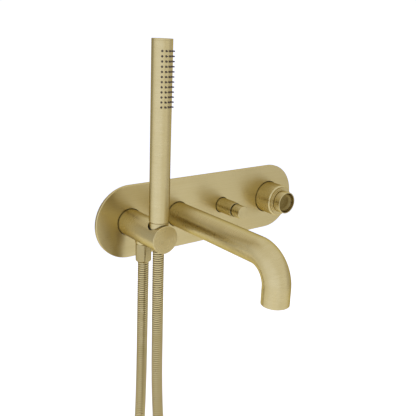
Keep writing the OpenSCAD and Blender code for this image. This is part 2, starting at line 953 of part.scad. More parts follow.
cover_plate();
plate_gasket();
plate_orings();
sleeve_orings();
mixer_body();
diverter_body();
spout_elbow();
holder_elbow();
mixed_pipe();
spout_pipe();
shower_pipe();
fixing_lugs();
mixer_sleeve();
mixer_trim_ring();
mixer_cartridge();
cartridge_nut();
cartridge_seals();
ceramic_disc_fixed();
ceramic_disc_moving();
cartridge_stem();
stem_oring();
handle_cup();
handle_screw();
handle_cap();
diverter_sleeve();
diverter_bonnet();
bonnet_orings();
diverter_spring();
diverter_stem();
diverter_seals();
diverter_knob();
knob_grub_screw();
spout_tube();
spout_collar();
spout_nipple();
spout_oring();
spout_grub_screw();
aerator_ring();
aerator_washer();
aerator_insert();
holder_body();
holder_nipple();
holder_oring();
holder_grub_screw();
holder_liner();
outlet_nipple();
outlet_washer();
outlet_hose_nut();
outlet_ferrule();
hose();
handset_ferrule();
cone_washer();
cone_nut();
handset_tail();
handset_orings();
handset_tube();
handset_end_cap();
handset_waterway();
handset_nozzles();
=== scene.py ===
"""Looks of the wall mounted bath faucet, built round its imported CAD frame.

The row frame: the origin is the middle of the cover plate's back on the wall, +X runs along the
plate, +Y goes into the wall and +Z is up. "Out" means away from the wall, along -Y.
"""

import json
import math
import bmesh
import bpy
from mathutils import Matrix, Vector


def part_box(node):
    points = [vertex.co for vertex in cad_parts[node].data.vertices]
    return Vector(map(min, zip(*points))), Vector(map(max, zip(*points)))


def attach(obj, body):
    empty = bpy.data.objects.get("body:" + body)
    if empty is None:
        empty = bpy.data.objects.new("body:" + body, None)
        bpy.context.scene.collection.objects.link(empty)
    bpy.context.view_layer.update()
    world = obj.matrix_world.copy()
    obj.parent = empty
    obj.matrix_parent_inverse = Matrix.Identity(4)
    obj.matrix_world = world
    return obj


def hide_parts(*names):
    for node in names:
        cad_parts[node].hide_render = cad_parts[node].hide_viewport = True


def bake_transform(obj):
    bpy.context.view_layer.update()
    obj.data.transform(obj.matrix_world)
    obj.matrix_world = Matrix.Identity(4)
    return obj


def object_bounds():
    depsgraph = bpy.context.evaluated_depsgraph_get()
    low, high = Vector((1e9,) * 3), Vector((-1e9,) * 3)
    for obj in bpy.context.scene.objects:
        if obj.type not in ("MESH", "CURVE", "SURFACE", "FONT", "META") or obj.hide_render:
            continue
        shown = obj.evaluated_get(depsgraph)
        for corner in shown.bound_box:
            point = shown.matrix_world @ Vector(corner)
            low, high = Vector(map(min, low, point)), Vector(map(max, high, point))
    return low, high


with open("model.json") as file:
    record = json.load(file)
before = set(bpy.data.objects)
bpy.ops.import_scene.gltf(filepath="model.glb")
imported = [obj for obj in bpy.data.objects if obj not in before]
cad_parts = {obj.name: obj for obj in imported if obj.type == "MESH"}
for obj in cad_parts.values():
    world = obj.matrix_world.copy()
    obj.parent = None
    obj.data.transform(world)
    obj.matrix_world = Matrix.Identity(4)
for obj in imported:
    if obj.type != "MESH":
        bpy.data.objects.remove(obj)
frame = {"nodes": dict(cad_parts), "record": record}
cad_lo, cad_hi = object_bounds()

MM = 0.001
TAU = 2 * math.pi


def towards(azimuth, elevation):
    """The direction of an azimuth and elevation in degrees. Azimuth 0 is straight out from the wall."""
    a, e = math.radians(azimuth), math.radians(elevation)
    return Vector((math.sin(a) * math.cos(e), -math.cos(a) * math.cos(e), math.sin(e)))


# ---- camera ----

AZIMUTH = -38.77
ELEVATION = 16.82
ROLL = 2.46
DISTANCE = 0.882
TARGET = Vector((0.0101, 0, -0.0027))
LENS = 51.94
SENSOR = 36


def make_camera():
    """A camera that looks at TARGET from AZIMUTH and ELEVATION, turned by ROLL about its line of sight."""
    data = bpy.data.cameras.new("camera")
    data.lens, data.sensor_width = LENS, SENSOR
    data.clip_start, data.clip_end = 0.01, 50
    back, roll = towards(AZIMUTH, ELEVATION), math.radians(ROLL)
    right = (-back).cross(Vector((0, 0, 1))).normalized()
    up = right.cross(-back)
    turned_right = right * math.cos(roll) + up * math.sin(roll)
    turned_up = up * math.cos(roll) - right * math.sin(roll)
    camera = bpy.data.objects.new("camera", data)
    axes = Matrix((turned_right, turned_up, back)).transposed().to_4x4()
    camera.matrix_world = Matrix.Translation(TARGET + back * DISTANCE) @ axes
    bpy.context.scene.collection.objects.link(camera)
    bpy.context.scene.camera = camera


# ---- mesh helpers ----

SHARP = math.radians(35)
SOFTEN_FROM = math.radians(40)
# a point beside each round stands this many reaches from the corner, if the flat is longer than the
# second number of reaches
FLAT_HOLD = 1.4
FLAT_ROOM = 2.5
BRUSH = "brush"


def make_object(name, mesh, material, body, slot, *nodes):
    """A smooth-shaded piece that rides on a body and stands for CAD nodes."""
    piece = bpy.data.objects.new(name, mesh)
    bpy.context.scene.collection.objects.link(piece)
    mesh.shade_smooth()
    mesh.set_sharp_from_angle(angle=SHARP)
    mesh.materials.clear()
    mesh.materials.append(material)
    if body:
        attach(piece, body)
    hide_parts(*nodes)
    return piece


def tidy(mesh, distance=1e-6):
    """Merges doubled vertices, drops faces with no area and turns every face outwards."""
    bm = bmesh.new()
    bm.from_mesh(mesh)
    bmesh.ops.remove_doubles(bm, verts=bm.verts, dist=distance)
    bmesh.ops.dissolve_degenerate(bm, edges=bm.edges, dist=distance)
    bmesh.ops.recalc_face_normals(bm, faces=bm.faces)
    bm.to_mesh(mesh)
    bm.free()


def fill_ends(mesh):
    """Closes a mesh's open ends with flat faces."""
    bm = bmesh.new()
    bm.from_mesh(mesh)
    bmesh.ops.holes_fill(bm, edges=[e for e in bm.edges if e.is_boundary], sides=0)
    bmesh.ops.recalc_face_normals(bm, faces=bm.faces)
    bm.to_mesh(mesh)
    bm.free()


def mesh_from(name, vertices, faces):
    mesh = bpy.data.meshes.new(name)
    mesh.from_pydata(vertices, [], faces)
    tidy(mesh)
    return mesh


def marked_mesh(name, vertices, faces, marks):
    """A mesh with a UV map that has one mark for each corner of each face."""
    mesh = bpy.data.meshes.new(name)
    mesh.from_pydata(vertices, [], faces)
    layer = mesh.uv_layers.new(name=BRUSH)
    for loop, mark in zip(layer.data, marks):
        loop.uv = mark
    tidy(mesh)
    return mesh


def out_from(x, z):
    """The frame of an axis that stands square to the wall: its own z is "out"."""
    return Matrix.Translation((x, 0, z)) @ Matrix.Rotation(math.radians(90), 4, "X")


def upright(x, y):
    """The frame of a vertical axis."""
    return Matrix.Translation((x, y, 0))


def hanging(x, y, z):
    """The frame of an axis that points down from a place."""
    return Matrix.Translation((x, y, z)) @ Matrix.Rotation(math.pi, 4, "X")


def rounded(profile, steps=5):
    """Turns [(r, h, radius), ...] into points, with a round of that radius at each corner.

    A point beside each round keeps the flat next to it flat when it is shaded smooth.
    """
    points = []
    count = len(profile)
    for i, (r, h, radius) in enumerate(profile):
        here = Vector((r, h))
        if radius <= 0:
            points.append(here)
            continue
        before = Vector(profile[i - 1][:2]) - here
        after = Vector(profile[(i + 1) % count][:2]) - here
        half = before.angle(after) / 2
        reach = radius / math.tan(half)
        a, b = here + before.normalized() * reach, here + after.normalized() * reach
        inward = (before.normalized() + after.normalized()).normalized()
        middle = here + inward * (radius / math.sin(half))
        if before.length > reach * FLAT_ROOM:
            points.append(here + before.normalized() * reach * FLAT_HOLD)
        first, last = (a - middle).normalized(), (b - middle).normalized()
        for step in range(steps + 1):
            share = step / steps
            points.append(middle + first.slerp(last, share) * radius)
        if after.length > reach * FLAT_ROOM:
            points.append(here + after.normalized() * reach * FLAT_HOLD)
    return points


def skin(name, rings, closed=False):
    """A mesh over rings of points; closed joins the last ring to the first.

    Its UV map holds, in metres, how far across the brushing a place is, and then the share of a turn.
    """
    sides = len(rings[0])
    count = len(rings)
    walked = [0.0]
    for i in range(count):
        walked.append(walked[-1] + (rings[(i + 1) % count][0] - rings[i][0]).length)
    faces, marks = [], []
    for i in range(count if closed else count - 1):
        low, high = i * sides, (i + 1) % count * sides
        for s in range(sides):
            t = (s + 1) % sides
            faces.append((low + s, low + t, high + t, high + s))
            near, far = walked[i], walked[i + 1]
            marks += [(near, s / sides), (near, (s + 1) / sides), (far, (s + 1) / sides), (far, s / sides)]
    return marked_mesh(name, [p for ring in rings for p in ring], faces, marks)


def lathe(name, place, profile, segments=128, closed=False):
    """A mesh turned about its own z. The profile runs from axis to axis, or closes on itself for a ring."""
    turn = [(math.cos(TAU * s / segments), math.sin(TAU * s / segments)) for s in range(segments)]
    rings = [
        [place @ Vector((r * c, r * s, h)) for c, s in turn]
        for r, h in rounded([(r * MM, h * MM, fillet * MM) for r, h, fillet in profile])
    ]
    return skin(name, rings, closed)


def rod(place, radius, start, end, segments=96):
    """A plain bar, to cut with or to add."""
    return lathe("rod", place, [(0, start, 0), (radius, start, 0), (radius, end, 0), (0, end, 0)], segments)


def with_modifier(mesh, kind, **settings):
    """The mesh after one modifier."""
    base = bpy.data.objects.new("base", mesh)
    bpy.context.scene.collection.objects.link(base)
    modifier = base.modifiers.new("change", kind)
    for key, value in settings.items():
        setattr(modifier, key, value)
    result = bpy.data.meshes.new_from_object(base.evaluated_get(bpy.context.evaluated_depsgraph_get()))
    bpy.data.objects.remove(base)
    tidy(result)
    return result


def boolean(mesh, cutter, operation="DIFFERENCE"):
    """The mesh with another cut from it or added to it, or only what both of them fill."""
    tool = bpy.data.objects.new("tool", cutter)
    bpy.context.scene.collection.objects.link(tool)
    result = with_modifier(mesh, "BOOLEAN", operation=operation, solver="EXACT", object=tool)
    bpy.data.objects.remove(tool)
    return result


def soften(mesh, width):
    """The mesh with a small round on its sharp edges."""
    return with_modifier(mesh, "BEVEL", width=width * MM, segments=3, limit_method="ANGLE",
                         angle_limit=SOFTEN_FROM, use_clamp_overlap=True)


def join(name, meshes):
    """One mesh that holds several."""
    bm = bmesh.new()
    for mesh in meshes:
        bm.from_mesh(mesh)
    joined = bpy.data.meshes.new(name)
    bm.to_mesh(joined)
    bm.free()
    return joined


# ---- material helpers ----


class Shader:
    """A material with a Principled shader, and short ways to add nodes to it."""

    def __init__(self, name):
        self.material = bpy.data.materials.new(name)
        self.material.use_nodes = True
        self.tree = self.material.node_tree
        self.main = self.tree.nodes["Principled BSDF"]

    def node(self, kind, inputs=(), **settings):
        made = self.tree.nodes.new(kind)
        for key, value in settings.items():
            setattr(made, key, value)
        for key, value in dict(inputs).items():
            self.put(made.inputs[key], value)
        return made

    def put(self, socket, value):
        if isinstance(value, bpy.types.NodeSocket):
            self.tree.links.new(value, socket)
        else:
            socket.default_value = value

    def set(self, **values):
        for key, value in values.items():
            self.put(self.main.inputs[key.replace("_", " ").title()], value)

    def math(self, operation, a, b=0.0):
        return self.node("ShaderNodeMath", {0: a, 1: b}, operation=operation).outputs[0]

    def vector(self, operation, a, b=(0, 0, 0)):
        made = self.node("ShaderNodeVectorMath", {0: a}, operation=operation)
        self.put(made.inputs[3 if operation == "SCALE" else 1], b)
        return made.outputs["Value" if operation == "LENGTH" else "Vector"]

    def combine(self, x, y, z):
        return self.node("ShaderNodeCombineXYZ", {0: x, 1: y, 2: z}).outputs[0]

    def place(self):
        return self.node("ShaderNodeTexCoord").outputs["Object"]

    def noise(self, vector, scale, detail=3.0, roughness=0.6):
        made = self.node("ShaderNodeTexNoise", {"Vector": vector, "Scale": scale, "Detail": detail,
                                               "Roughness": roughness})
        return made.outputs["Fac"]

    def span(self, value, low, high, from_low=0.3, from_high=0.7):
        inputs = {0: value, 1: from_low, 2: from_high, 3: low, 4: high}
        return self.node("ShaderNodeMapRange", inputs).outputs[0]

    def blend(self, factor, a, b):
        made = self.node("ShaderNodeMix", {0: factor, 6: (*a, 1) if isinstance(a, tuple) else a,
                                           7: (*b, 1) if isinstance(b, tuple) else b}, data_type="RGBA")
        return made.outputs[2]

    def bump(self, height, strength, distance):
        made = self.node("ShaderNodeBump", {"Height": height, "Strength": strength, "Distance": distance})
        self.put(self.main.inputs["Normal"], made.outputs[0])


GOLD = (0.56, 0.465, 0.225)
GOLD_DEEP = (0.49, 0.395, 0.17)
# painted shade: the colour that shaded places on the gold are mixed towards
GOLD_PAINTED_SHADE = (0.2, 0.145, 0.045)
# painted shade down in the grooves between the hose's ribs
GOLD_GROOVE_SHADE = (0.085, 0.054, 0.015)
GOLD_EDGE = (0.62, 0.52, 0.27, 1)
ANISOTROPY = 0.6
TURNED_ROUGHNESS = 0.28
STRAIGHT_ROUGHNESS = 0.3
# what the darkest and the lightest places add to the roughness
ROUGHNESS_SPREAD = (0.07, -0.04)
# streaks per metre across the brushing, and how fast they change round a turn and along a straight
STREAKS = 2400
STREAK_TURN = 0.8
STREAK_ALONG = 14
STREAK_SHARE = 0.65
STREAK_BUMP = 0.3
STREAK_DEPTH = 0.00003
# slow patches per metre, and along a straight
PATCHES = 60
PATCHES_ALONG = 12
HOSE_PATCHES = 90
# painted shade that darkens the whole hex nut under the holder
NUT_PAINTED_SHADE = 0.45
# how far from the cup's axis the painted shade inside it is full, and where it ends
CUP_PAINTED_SHADE = (0.0142, 0.0154)


def finish_gold(shader, streak, patch, roughness, shade=0.0):
    """Brushed gold from a fine streak pattern and a slow patchy one; shade says how much painted shade
    darkens it.
    """
    tone = shader.math("ADD", shader.math("MULTIPLY", streak, STREAK_SHARE),
                       shader.math("MULTIPLY", patch, 1 - STREAK_SHARE))
    tangent = shader.node("ShaderNodeTangent", direction_type="UV_MAP", uv_map=BRUSH).outputs[0]
    dark_more, light_more = ROUGHNESS_SPREAD
    # the base colour is mixed towards painted shade by the amount shade
    shader.set(
        base_color=shader.blend(shade, shader.blend(shader.span(tone, 0, 1), GOLD_DEEP, GOLD), GOLD_PAINTED_SHADE),
        roughness=shader.span(tone, roughness + dark_more, roughness + light_more),
        metallic=1.0, specular_tint=GOLD_EDGE, anisotropic=ANISOTROPY, tangent=tangent,
    )
    shader.bump(streak, STREAK_BUMP, STREAK_DEPTH)
    return shader.material


def turned_gold(name, recess=None, shade=0.0):
    """Gold brushed round each turned or bent piece, along its rings. It is darkened by painted shade: by
    the amount shade, or in a recess.

    The recess is (x, z, radius where the painted shade is full, radius where it ends).
    """
    shader = Shader(name)
    mark = shader.node("ShaderNodeUVMap", uv_map=BRUSH).outputs[0]
    split = shader.node("ShaderNodeSeparateXYZ", {0: mark})
    across, turn = split.outputs[0], shader.math("MULTIPLY", split.outputs[1], TAU)
    streak = shader.noise(shader.combine(
        shader.math("MULTIPLY", across, STREAKS),
        shader.math("MULTIPLY", shader.math("COSINE", turn), STREAK_TURN),
        shader.math("MULTIPLY", shader.math("SINE", turn), STREAK_TURN)), 1.0)
    patch = shader.noise(shader.place(), PATCHES, 2.0)
    # painted shade in the recess: full near its axis, fading out towards its wall
    if recess:
        x, z, full, none = recess
        offset = shader.vector("MULTIPLY", shader.vector("SUBTRACT", shader.place(), (x, 0, z)), (1, 0, 1))
        shade = shader.span(shader.vector("LENGTH", offset), 1, 0, full, none)
    return finish_gold(shader, streak, patch, TURNED_ROUGHNESS, shade)


def straight_gold(name):
    """Gold brushed along X."""
    shader = Shader(name)
    scale = (STREAK_ALONG, STREAKS, STREAKS)
    streak = shader.noise(shader.vector("MULTIPLY", shader.place(), scale), 1.0, 4.0)
    scale = (PATCHES_ALONG, PATCHES, PATCHES)
    patch = shader.noise(shader.vector("MULTIPLY", shader.place(), scale), 1.0, 2.0)
    return finish_gold(shader, streak, patch, STRAIGHT_ROUGHNESS)


def plain(name, colour, other, scale, roughness, metallic=0.0, bump=0.1, depth=0.00005):
    """A mottled material: cast or machined metal, rubber, plastic or ceramic."""
    shader = Shader(name)
    grain = shader.noise(shader.place(), scale, 5.0, 0.65)
    shader.set(base_color=shader.blend(shader.span(grain, 0, 1), colour, other),
               roughness=shader.span(grain, roughness - 0.06, roughness + 0.1), metallic=metallic)
    shader.bump(grain, bump, depth)
    return shader.material


def hose_gold():
    """Gold on the hose's ribs, with painted shade down in the grooves between them."""
    shader = Shader("hose_gold")
    mark = shader.node("ShaderNodeUVMap", uv_map=BRUSH).outputs[0]
    along = shader.node("ShaderNodeSeparateXYZ", {0: mark}).outputs[0]
    # crown is 0 down in the grooves, where the gold is mixed towards painted shade, and 1 on the ribs
    crown = shader.span(shader.math("PINGPONG", along, 0.5), 0.0, 1.0, 0.06, 0.26)
    patch = shader.noise(shader.place(), HOSE_PATCHES, 3.0)
    tint = shader.blend(shader.span(patch, 0, 1), GOLD_DEEP, GOLD)
    shader.set(base_color=shader.blend(crown, GOLD_GROOVE_SHADE, tint),
               roughness=shader.span(patch, 0.34, 0.26), metallic=1.0, specular_tint=GOLD_EDGE)
    return shader.material


# ---- sizes from the frame ----


def centre(node):
    lo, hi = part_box(node)
    return (lo + hi) / 2


def half_size(node):
    lo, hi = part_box(node)
    return (hi - lo) / 2 / MM


def out_span(node):
    """How far a node's back and its front stand out from the wall, in millimetres."""
    lo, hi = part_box(node)
    return -hi.y / MM, -lo.y / MM


def z_span(node):
    lo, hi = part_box(node)
    return lo.z / MM, hi.z / MM


plate_half = half_size("cover_plate")
mixer_at = centre("mixer_sleeve")
diverter_at = centre("diverter_sleeve")
holder_at = centre("holder_body")
handset_at = centre("handset_tube")
outlet_at = centre("outlet_hose_nut")
aerator_at = centre("aerator_ring")
spout_r = half_size("spout_tube").x
spout_axis = z_span("spout_tube")[1] - spout_r
spout_out = out_span("spout_tube")[1] - spout_r

# ---- hose ----

# route of the hose's middle line, as (out from the wall, height) in metres
HOSE_ROUTE = [
    (0.038, -0.043), (0.038, -0.060), (0.0375, -0.100), (0.0371, -0.140), (0.0366, -0.180),
    (0.0358, -0.220), (0.0344, -0.260), (0.0322, -0.300), (0.029, -0.340), (0.0252, -0.380),
    (0.021, -0.420), (0.0168, -0.460), (0.0132, -0.500), (0.012, -0.535), (0.0165, -0.557),
    (0.029, -0.576), (0.048, -0.5885), (0.070, -0.593), (0.092, -0.5885), (0.1105, -0.576),
    (0.1227, -0.557), (0.127, -0.535), (0.1255, -0.500), (0.1195, -0.460), (0.111, -0.420),
    (0.1015, -0.380), (0.0925, -0.340), (0.085, -0.300), (0.0794, -0.260), (0.0759, -0.220),
    (0.0742, -0.180), (0.0738, -0.140), (0.0733, -0.100), (0.073, -0.060), (0.073, -0.017),
]
HOSE_DIAMETER = 0.0145
RIB_PITCH = 0.003
# share of the pitch and depth below the hose's outside, for one rib
RIB = [(0.0, 0.0009), (0.1, 0.0004), (0.28, 0.0001), (0.5, 0.0), (0.72, 0.0001), (0.9, 0.0004)]
HOSE_SIDES = 28


def smooth_route(points, step):
    """Points every step along a smooth curve through the route's own points."""
    ends = [points[0] * 2 - points[1], *points, points[-1] * 2 - points[-2]]
    fine, parts = [], 20
    for a, b, c, d in zip(ends, ends[1:], ends[2:], ends[3:]):
        for i in range(parts):
            t = i / parts
            fine.append(0.5 * (2 * b + (c - a) * t + (2 * a - 5 * b + 4 * c - d) * t ** 2
                               + (3 * b - a - 3 * c + d) * t ** 3))
    fine.append(points[-1])
    walked, even = 0.0, [fine[0]]
    for p, q in zip(fine, fine[1:]):
        length = (q - p).length
        while walked + length >= step * len(even):
            even.append(p.lerp(q, (step * len(even) - walked) / length))
        walked += length
    if (even[-1] - fine[-1]).length > step * 0.1:
        even.append(fine[-1])
    return even


def make_hose(material, nut):
    """The metal hose: a band wound in a helix, with a groove between its turns."""
    x = holder_at.x
    route = smooth_route([Vector((x, -out, z)) for out, z in HOSE_ROUTE], RIB_PITCH / 2)
    reach = (len(route) - 1) * RIB_PITCH / 2
    side = Vector((1, 0, 0))

    def ring_point(s, angle, depth):
        s = min(max(s, 0), reach - 1e-6)
        i = int(s / (RIB_PITCH / 2))
        p, q = route[i], route[min(i + 1, len(route) - 1)]
        before, after = route[max(i - 1, 0)], route[min(i + 2, len(route) - 1)]
        here = p.lerp(q, s / (RIB_PITCH / 2) - i)
        normal = (after - before).normalized().cross(side)
        radius = HOSE_DIAMETER / 2 - depth
        return here + (side * math.cos(angle) + normal * math.sin(angle)) * radius

    turns = int(reach / RIB_PITCH) + 1
    per = len(RIB)
    rows = [(t + share - 1, depth) for t in range(turns + 1) for share, depth in RIB]
    vertices = [ring_point((turn + s / HOSE_SIDES) * RIB_PITCH, TAU * s / HOSE_SIDES, depth)
                for turn, depth in rows for s in range(HOSE_SIDES)]
    faces, marks = [], []
    for i in range(len(rows) - 1):
        near, far = rows[i][0], rows[i + 1][0]
        for s in range(HOSE_SIDES):
            a = i * HOSE_SIDES + s
            b = a + 1
            if s == HOSE_SIDES - 1:
                if i + per + 1 >= len(rows):
                    continue
                b = (i + per) * HOSE_SIDES
            faces.append((a, b, b + HOSE_SIDES, a + HOSE_SIDES))
            start, end = s / HOSE_SIDES, (s + 1) / HOSE_SIDES
            marks += [(near, start), (near, end), (far, end), (far, start)]
    mesh = marked_mesh("hose", vertices, faces, marks)
    fill_ends(mesh)
    piece = make_object("shower_hose", mesh, material, None, "hose_gold", "hose")
    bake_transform(piece)


# ---- cover plate ----

HOLE_GAP = 0.8
PLATE_EDGE = 0.8
HOLE_EDGE = 0.3
GROOVE_DEEP = 1.5
GROOVE_INSET = (3.0, 7.0)


def stadium(radius, out, straight, steps=64):
    """Points round a shape with two half-round ends, parallel to the wall, in millimetres."""
    points = []
    for side, turn in ((1, -math.pi / 2), (-1, math.pi / 2)):
        for i in range(steps + 1):
            a = turn + math.pi * i / steps
            points.append(Vector((side * straight + radius * math.cos(a), -out, radius * math.sin(a))) * MM)
    return points


def circle(x, z, radius, out, sides=96):
    return [Vector((x + radius * math.cos(a), -out, z + radius * math.sin(a))) * MM
            for a in (TAU * i / sides for i in range(sides))]


def add_strip(bm, rings):
    """Joins rings of points with quads and returns the edges of the first and of the last ring."""
    rows = [[bm.verts.new(p) for p in ring] for ring in rings]
    for low, high in zip(rows, rows[1:]):
        for s in range(len(low)):
            t = (s + 1) % len(low)
            bm.faces.new((low[s], low[t], high[t], high[s]))
    ends = rows[0], rows[-1]
    return [[bm.edges.get((row[s], row[(s + 1) % len(row)])) for s in range(len(row))] for row in ends]


def edge_round(radius, front, size):
    """(radius, out) pairs from the back up the wall and over its round front edge."""
    arc = [(radius - size + size * math.cos(a), front - size + size * math.sin(a))
           for a in (math.pi / 2 * i / 5 for i in range(6))]
    return [(radius, 0.0), (radius, front - FLAT_HOLD * size), *arc, (radius - FLAT_HOLD * size, front)]


def make_plate(material):
    """The cover plate: a rounded slab with four holes and a groove for its gasket in the back."""
    front, tall = out_span("cover_plate")[1], plate_half.z
    straight = plate_half.x - tall
    bm = bmesh.new()
    rim, face = add_strip(bm, [stadium(r, out, straight) for r, out in edge_round(tall, front, PLATE_EDGE)])
    wide, narrow = (tall - inset for inset in GROOVE_INSET)
    groove = [(wide, 0), (wide, GROOVE_DEEP), (narrow, GROOVE_DEEP), (narrow, 0)]
    outer, inner = add_strip(bm, [stadium(r, out, straight) for r, out in groove])
    holes = [(mixer_at, "mixer_sleeve"), (diverter_at, "diverter_sleeve"), (holder_at, "holder_body")]
    rounds = [(at.x / MM, at.z / MM, half_size(node).x) for at, node in holes]
    rounds.append((centre("spout_tube").x / MM, spout_axis, spout_r))
    backs, fronts = [], []
    for x, z, radius in rounds:
        wall = [(2 * (radius + HOLE_GAP) - r, out)
                for r, out in edge_round(radius + HOLE_GAP, front, HOLE_EDGE)]
        back, top = add_strip(bm, [circle(x, z, r, out) for r, out in wall])
        backs += back
        fronts += top
    for edges in (face + fronts, rim + outer, inner + backs):
        bmesh.ops.triangle_fill(bm, use_beauty=True, edges=edges)
    layer = bm.loops.layers.uv.new(BRUSH)
    for loop in (loop for polygon in bm.faces for loop in polygon.loops):
        loop[layer].uv = (loop.vert.co.z, loop.vert.co.x)
    mesh = bpy.data.meshes.new("cover_plate")
    bm.to_mesh(mesh)
    bm.free()
    tidy(mesh)
    make_object("plate_cover", mesh, material, "wall_unit", "brushed_gold", "cover_plate")


# ---- mixer ----

# pairs are (radius, how far out it ends) for the hub and the bore, and (radius, depth) for the two seats
SLEEVE_WALL = 2.0
TRIM_FIT = 0.05
SLEEVE_CHAMFER = 1.4
TRIM_SEAT = 1.6
# radius of the trim ring's narrower step, and how far in front of the sleeve it starts
TRIM_STEP = (18.6, 1.6)
TRIM_BORE = 13.0
CUP_HUB = (9.0, 36.6)
CUP_BORE = (4.25, 33.5)
CUP_WALL = 1.4
CUP_FILLET = 5.0
CAP_SEAT = (5.05, 1.0)
SCREW_SEAT = (3.1, 3.0)
SCREW_HOLE = 1.6


def make_mixer(material, cup_material):
    place = out_from(mixer_at.x, mixer_at.z)
    radius, (back, front) = half_size("mixer_sleeve").x, out_span("mixer_sleeve")
    bore = radius - SLEEVE_WALL
    trim_r = half_size("mixer_trim_ring").x
    trim_back, trim_front = out_span("mixer_trim_ring")
    seat = trim_r - TRIM_SEAT
    sleeve = lathe("mixer_sleeve", place, [
        (bore, back, 0), (radius, back, 0.2), (radius, front - SLEEVE_CHAMFER, 0.5),
        (radius - SLEEVE_CHAMFER, front, 0.5), (seat, front, 0.1), (seat, trim_back, 0),
        (bore, trim_back, 0),
    ], closed=True)
    make_object("mixer_cover_sleeve", sleeve, material, "wall_unit", "brushed_gold", "mixer_sleeve")

    step_r, step = TRIM_STEP[0], front + TRIM_STEP[1]
    trim = lathe("trim", place, [
        (TRIM_BORE, trim_back, 0), (seat - TRIM_FIT, trim_back, 0), (seat - TRIM_FIT, front, 0),
        (trim_r, front, 0.1), (trim_r, step, 0.4), (step_r, step, 0.1), (step_r, trim_front, 0.35),
        (TRIM_BORE, trim_front, 0.1),
    ], closed=True)
    make_object("mixer_stepped_ring", trim, material, "wall_unit", "brushed_gold", "mixer_trim_ring")

    cup_r, (cup_low, rim) = half_size("handle_cup").x, out_span("handle_cup")
    floor = out_span("handle_cap")[1]
    hub_r, cup_back = CUP_HUB
    bore_r, bore_top = CUP_BORE
    cap_r, cap_deep = CAP_SEAT
    head_r, head_deep = SCREW_SEAT
    cup = lathe("cup", place, [
        (bore_r, cup_low, 0.2), (hub_r, cup_low, 0.3), (hub_r, cup_back, 0), (cup_r, cup_back, 0.4),
        (cup_r, rim, 0.45), (cup_r - CUP_WALL, rim, 0.35), (cup_r - CUP_WALL, floor, CUP_FILLET),
        (cap_r, floor, 0.08), (cap_r, floor - cap_deep, 0), (head_r, floor - cap_deep, 0),
        (head_r, floor - head_deep, 0), (SCREW_HOLE, floor - head_deep, 0), (SCREW_HOLE, bore_top, 0),
        (bore_r, bore_top, 0),
    ], closed=True)
    make_object("handle_cup_shell", cup, cup_material, "mixer_handle", "brushed_gold", "handle_cup")

    cap_back, cap_front = out_span("handle_cap")
    disc_r = half_size("handle_cap").x
    cap = lathe("cap", place, [(0, cap_back, 0), (disc_r, cap_back, 0.1), (disc_r, cap_front, 0.2),
                               (0, cap_front, 0)], 96)
    make_object("handle_cap_disc", cap, cup_material, "mixer_handle", "brushed_gold", "handle_cap")


# ---- diverter ----

# pairs are (radius, how far out it ends), and for the screw (radius, how far out it stands)
DIVERTER_WALL = 1.0
KNOB_NECK = (8.6, 37.0)
KNOB_BORE = (3.05, 46.1)
KNOB_SCREW = (1.6, 31.0)


def make_diverter(material):
    place = out_from(diverter_at.x, diverter_at.z)
    radius, (back, front) = half_size("diverter_sleeve").x, out_span("diverter_sleeve")
    bore = radius - DIVERTER_WALL
    sleeve = lathe("sleeve", place, [(bore, back, 0), (radius, back, 0.1), (radius, front, 0.3),
                                     (bore, front, 0.2)], 96, closed=True)
    make_object("diverter_cover_sleeve", sleeve, material, "wall_unit", "brushed_gold", "diverter_sleeve")

    knob_r, (low, top) = half_size("diverter_knob").x, out_span("diverter_knob")
    neck_r, neck_top = KNOB_NECK
    bore_r, bore_top = KNOB_BORE
    knob = lathe("knob", place, [
        (0, bore_top, 0), (bore_r, bore_top, 0), (bore_r, low, 0.1), (neck_r, low, 0.2),
        (neck_r, neck_top, 0), (knob_r, neck_top, 0.4), (knob_r, top, 0.55), (0, top, 0),
    ], 96)
    screw_r, screw_out = KNOB_SCREW
    under = hanging(diverter_at.x, -screw_out * MM, diverter_at.z)
    knob = boolean(knob, rod(under, screw_r, bore_r - 1, neck_r + 1, 32))
    make_object("diverter_knob_turned", knob, material, "diverter_control", "brushed_gold", "diverter_knob")


# ---- spout ----

BEND_R = 36.0
SPOUT_WALL = 1.5
# radius of the screw's hole, and how far out it is
SPOUT_SCREW = (2.3, 12.0)
# radius inside the aerator's ring, and inside the lip on top of it
AERATOR_BORE = (12.5, 11.0)
AERATOR_LIP = 1.5
SPOUT_SIDES = 112


def spout_path(start, end_z):
    """A function from a distance along the spout to its middle line and direction, in millimetres."""
    x = centre("spout_tube").x / MM
    straight = spout_out - BEND_R - start
    arc = BEND_R * math.pi / 2
    elbow = Vector((x, -(spout_out - BEND_R), spout_axis - BEND_R))

    def at(s):
        turn = min(max(s - straight, 0) / BEND_R, math.pi / 2)
        on_bend = elbow + Vector((0, -math.sin(turn), math.cos(turn))) * BEND_R
        direction = Vector((0, -math.cos(turn), -math.sin(turn)))
        return on_bend + direction * (min(s - straight, 0) + max(s - straight - arc, 0)), direction

    drop = spout_axis - BEND_R - end_z
    return at, straight, arc, straight + arc + drop


